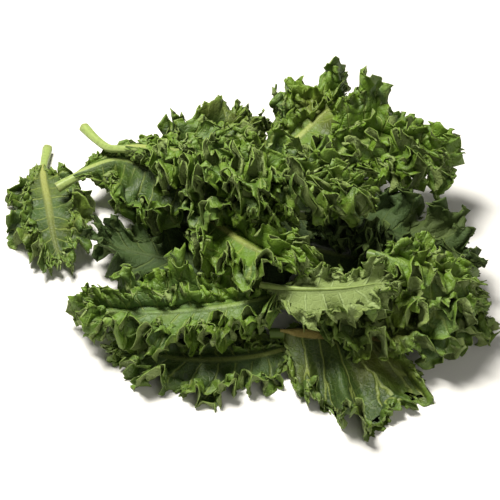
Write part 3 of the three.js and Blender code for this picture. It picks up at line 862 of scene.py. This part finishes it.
# What is a leaf's own: how light its green is, at random, how much its rib shows, how wide its flounces are
# and where they stand. The listed darker levels are painted shade instead: they darken the leaves that lie
# in the heap's hollows, and some flat ones that catch much light, as shade would. A flounce has a column of
# its half blade, counted from the rib, and its slopes at root and margin.
PAINTED_SHADE_LEVELS = dict(under=0.05, under_left=0, under_right=0.05, right=0, front_low=0.3, front=0.3, left=0.3,
              middle=0.45)
LEAST_SHADE, MORE_SHADE, SHADE_DRAW = 0.4, 0.4, 9
OLD_LEAF, OLD_YELLOWED, OLD_FINER = "front", 0.5, 2
MOST_YELLOWED, YELLOWED_DRAW = 0.2, 10
RIBS_SHOWN = dict(right_low=0.25, right_back=0.5, front_right=0.5, left=0.7, under_left=0.4, front_left=0.7)
FLOUNCE_SHARES = dict(under=0.7, back=0.75, right_back=0.9, right=1.05, pale=0.6, front=0.7, front_low=0.7,
                      left=0.5, under_left=0.7)
AT_RIB, BETWEEN, OUTER, HANGING = (1, 116, 10), (4, 80, -30), (7, 80, -30), (10, -50, -85)
LOW_OUTER, FRONT_OUTER = (9, 60, -40), (9, 65, -40)
ALL_ROUND = (AT_RIB, BETWEEN, OUTER)
FLOUNCES = dict(
    under=([OUTER], [OUTER]),
    under_right=([], []),
    under_left=([], [OUTER]),
    front=([], [FRONT_OUTER]),
    front_low=([OUTER], [AT_RIB, OUTER]),
    left=([OUTER], [BETWEEN, OUTER]),
    pale=([OUTER], [OUTER]),
    front_left=([BETWEEN, OUTER], [AT_RIB, OUTER]),
    centre=(ALL_ROUND, [OUTER]),
    middle=(ALL_ROUND, [OUTER]),
    back=(ALL_ROUND, [OUTER]),
    front_right=(ALL_ROUND, [AT_RIB, OUTER]),
    right=([LOW_OUTER], ALL_ROUND),
    right_back=(ALL_ROUND, [*ALL_ROUND, HANGING]),
)

for leaf in LEAVES:
    name = leaf["name"]
    # Listed leaves take a painted shade level; the others a random tone of their own green.
    leaf["tone_and_painted_shade"] = PAINTED_SHADE_LEVELS.get(name, LEAST_SHADE + MORE_SHADE * draw(leaf["number"], SHADE_DRAW))
    yellowed = MOST_YELLOWED * draw(leaf["number"], YELLOWED_DRAW)
    leaf["yellowed"] = OLD_YELLOWED if name == OLD_LEAF else yellowed
    leaf["finer"] = OLD_FINER if name == OLD_LEAF else 1
    leaf["ruffle"] = max(1.0, leaf["frill"])
    leaf["rib_shown"] = RIBS_SHOWN.get(name, 1)
    leaf["flounces"] = FLOUNCES.get(name, (ALL_ROUND, ALL_ROUND))
    leaf["flounce_share"] = FLOUNCE_SHARES.get(name, 1)
    build_blade(leaf)


# The stalks. Each is the leaf's own stem: a juicy, finely ridged, pale green rod that was cut across at its
# end and runs out under the blade as its rib. A node tree sweeps its ridged outline along the rib's line.
STALK_DARK = (0.10, 0.16, 0.025)
STALK_CLOUD = (0.33, 0.40, 0.14)
CUT_BROWNED = (0.2, 0.2, 0.07)
STALK_ROUGHNESS, STREAK_STRENGTH, STREAK_HEIGHT = 0.42, 0.4, 0.0005
STALK_PATCHES, STALK_GRAIN, STREAKS = (70, 3), (700, 2), (320, 2)
STREAK_SIDES = (0.5, 0.62)
GREENS, BROWNS = (60, 190), (0.5, 5)


def stalk_finish():
    finish = Finish("kale_stalk")
    place = finish.place()
    from_cut, short = finish.attribute("from_cut"), finish.attribute("short")
    cloud, grain, streaks = (finish.noise(place, *kind) for kind in (STALK_PATCHES, STALK_GRAIN, STREAKS))
    greened = finish.step(from_cut, *GREENS) + short
    colour = finish.mixed(greened, STALK_GREEN, STALK_DARK)
    colour = finish.mixed(cloud * 0.4 * (1 - greened), colour, STALK_CLOUD)
    colour = finish.mixed(finish.step(streaks, *STREAK_SIDES) * 0.35, colour, STALK_DARK)
    browned = (1 - finish.step(from_cut, *BROWNS)) * (0.2 + grain * 0.4) * (1 - short)
    finish.put(finish.shader["Base Color"], finish.mixed(browned, colour, CUT_BROWNED))
    finish.put(finish.shader["Roughness"], STALK_ROUGHNESS + grain * 0.2)
    finish.bump(grain * 0.4 + streaks * 0.6, STREAK_STRENGTH, STREAK_HEIGHT)
    return finish.material


OUTLINE_POINTS, RIDGES, RIDGE_DEPTH = 20, 5, 0.05


def swept_stalk_tree():
    tree = bpy.data.node_groups.new("Swept stalk", "GeometryNodeTree")
    face = tree.interface
    face.new_socket("Geometry", in_out="INPUT", socket_type="NodeSocketGeometry")
    for name, kind, value in (("Outline points", "NodeSocketInt", OUTLINE_POINTS),
                              ("Ridges", "NodeSocketInt", RIDGES),
                              ("Ridge depth", "NodeSocketFloat", RIDGE_DEPTH)):
        made = face.new_socket(name, in_out="INPUT", socket_type=kind)
        made.default_value = value
    face.new_socket("Finish", in_out="INPUT", socket_type="NodeSocketMaterial")
    face.new_socket("Geometry", in_out="OUTPUT", socket_type="NodeSocketGeometry")

    sweep = Nodes(tree)
    given = {socket.name: Wire(sweep, socket) for socket in tree.nodes.new("NodeGroupInput").outputs}
    line = sweep.node("GeometryNodeMeshToCurve", {}, {"Mesh": given["Geometry"]})
    radius = sweep.node("GeometryNodeInputNamedAttribute", dict(data_type="FLOAT"), {"Name": "stem_radius"})
    ring = sweep.node("GeometryNodeCurvePrimitiveCircle", {},
                      {"Resolution": given["Outline points"], "Radius": 1.0})
    place = sweep.node("GeometryNodeInputPosition", {}, {})
    x, y = (sweep.node("ShaderNodeSeparateXYZ", {}, {"Vector": place}, axis) for axis in ("X", "Y"))
    ridged = sweep.math("COSINE", sweep.math("ARCTAN2", y, x) * given["Ridges"]) * given["Ridge depth"] + 1.0
    moved = sweep.node("ShaderNodeVectorMath", dict(operation="SCALE"), {0: place, "Scale": ridged})
    ring = sweep.node("GeometryNodeSetPosition", {}, {"Geometry": ring, "Position": moved})
    swept = sweep.node("GeometryNodeCurveToMesh", {},
                       {"Curve": line, "Profile Curve": ring, "Scale": radius, "Fill Caps": True})
    soft = sweep.node("GeometryNodeSetShadeSmooth", {}, {"Geometry": swept})
    whole = sweep.node("GeometryNodeRealizeInstances", {}, {"Geometry": soft})
    done = sweep.node("GeometryNodeSetMaterial", {}, {"Geometry": whole, "Material": given["Finish"]})
    sweep.put(tree.nodes.new("NodeGroupOutput").inputs[0], done)
    return tree


stalk_material, stalk_tree = stalk_finish(), swept_stalk_tree()
STALK_ENDS_AT, STEPS_PER_STATION = 0.93, 2
BARE_BEFORE = (-4, -1)
SLIMMED, SLIMMED_BELOW = 0.82, 0.52
OFF_WORKTOP = 0.3
THINS, THINS_OVER = 0.5, (0.6, 0.95)
FLARE, FLARE_LENGTH = 0.12, 30
SHORT_STALKS, SHORT_BELOW = (16, 18), 0.3


def build_stalk(leaf):
    last = leaf["stations"] * STALK_ENDS_AT
    fine = np.arange(-STEPS_PER_STATION * leaf["before"], STEPS_PER_STATION * last) / STEPS_PER_STATION
    f = rib_frame(leaf, fine)
    facing, slimmed, shortened = (-1, SLIMMED, 1)
    if leaf.get("face_down"):
        facing, slimmed, shortened = (1, SLIMMED_BELOW, SHORT_BELOW)
    rib_lift = eased(leaf["rib_lift"], fine + leaf["before"])
    thick = f["radius"] * slimmed
    depth = thick + (STALK_CLEAR + SHEET / 2) * (1 - smooth(*BARE_BEFORE, fine))
    line = f["at"] + np.array([0, 0, 1]) * rib_lift[:, None] + f["up"] * (facing * depth)[:, None]
    line[:, 2] = np.maximum(line[:, 2], thick + OFF_WORKTOP)
    mesh = bpy.data.meshes.new("stalk line")
    mesh.from_pydata((line + heap_shift) / 1000, [(i, i + 1) for i in range(len(line) - 1)], [])
    from_cut = np.concatenate([[0], np.cumsum(np.linalg.norm(np.diff(line, axis=0), axis=1))])
    radius = thick * (1 - THINS * smooth(*THINS_OVER, f["t"]))
    radius = radius * (1 + FLARE * smooth(FLARE_LENGTH, 0, from_cut))
    short = np.full(len(fine), shortened * (1 - smooth(*SHORT_STALKS, leaf["stalk"])))
    for key, values in (("stem_radius", radius / 1000), ("from_cut", from_cut), ("short", short)):
        put_attribute(mesh, key, values)
    path = shown("stalk line", mesh)
    swept = path.modifiers.new("Swept stalk", "NODES")
    swept.node_group = stalk_tree
    values = {"Outline points": OUTLINE_POINTS, "Ridges": RIDGES, "Ridge depth": RIDGE_DEPTH,
              "Finish": stalk_material}
    for item in stalk_tree.interface.items_tree:
        if item.in_out == "INPUT" and item.name in values:
            swept[item.identifier] = values[item.name]
    drawn = path.evaluated_get(bpy.context.evaluated_depsgraph_get())
    name = leaf["name"] + "_leaf_stalk_ridged"
    made = bpy.data.meshes.new_from_object(drawn)
    made.name = name
    piece = shown(name, made)
    bpy.data.objects.remove(path)
    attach(piece, "root")
    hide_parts(leaf["name"] + "_leaf_stalk")


for leaf in LEAVES:
    build_stalk(leaf)


# The worktop: the plain, pale, matt surface that the heap lies on. It is one flat sheet, so wide that the
# camera doesn't see its edges, and it isn't part of the bunch.
WORKTOP_HALF = 3
WORKTOP_COLOUR, WORKTOP_ROUGHNESS = (0.78, 0.77, 0.75, 1), 0.85
worktop_mesh = bpy.data.meshes.new("worktop")
corners = [(x * WORKTOP_HALF, y * WORKTOP_HALF, 0) for x, y in ((-1, -1), (1, -1), (1, 1), (-1, 1))]
worktop_mesh.from_pydata(corners, [], [(0, 1, 2, 3)])
worktop = shown("worktop", worktop_mesh)
worktop_finish = Finish("pale_worktop")
worktop_finish.put(worktop_finish.shader["Base Color"], WORKTOP_COLOUR)
worktop_finish.put(worktop_finish.shader["Roughness"], WORKTOP_ROUGHNESS)
worktop_mesh.materials.append(worktop_finish.material)


# The light: a soft warm lamp high up at the left, as of a window, a broad weak one in front at the right,
# and the faint glow of the room. Both lamps look at the middle of the heap.
ROOM_COLOUR, ROOM_STRENGTH = (1, 0.98, 0.94, 1), 0.1
LAMP_COLOUR = (1, 0.97, 0.9)
LIT_POINT = Vector((0, 0, 0.05))
LAMPS = (
    dict(name="window light", place=(-0.4, 0.2, 1.35), size=0.45, power=41),
    dict(name="room light", place=(0.6, -1.2, 0.9), size=1.0, power=6),
)


def aim(thing, place, direction):
    thing.location = place
    thing.rotation_mode = "QUATERNION"
    thing.rotation_quaternion = direction.to_track_quat("-Z", "Y")


room = bpy.data.worlds.new("room")
room.use_nodes = True
room_inputs = room.node_tree.nodes["Background"].inputs
room_inputs["Color"].default_value = ROOM_COLOUR
room_inputs["Strength"].default_value = ROOM_STRENGTH
bpy.context.scene.world = room
for lamp in LAMPS:
    light = bpy.data.lights.new(lamp["name"], "AREA")
    light.energy, light.size, light.color = lamp["power"], lamp["size"], LAMP_COLOUR
    aim(shown(lamp["name"], light), lamp["place"], LIT_POINT - Vector(lamp["place"]))


# The camera, which looks down on the heap as steeply as the photograph does. Its lens is as long as makes
# the view's half width, at the heap, the one given here in metres.
ELEVATION = 45
TARGET = Vector((0.005, -0.0122, 0.0545))
DISTANCE, HALF_VIEW = 1.6, 0.2145
SENSOR_WIDTH = 36
view = bpy.data.cameras.new("camera")
view.sensor_width = SENSOR_WIDTH
view.lens = SENSOR_WIDTH / 2 / (HALF_VIEW / DISTANCE)
camera = shown("camera", view)
away = Vector((0, -np.cos(np.radians(ELEVATION)), np.sin(np.radians(ELEVATION))))
aim(camera, TARGET + away * DISTANCE, -away)
bpy.context.scene.camera = camera
bpy.context.scene.view_settings.view_transform = "Standard"
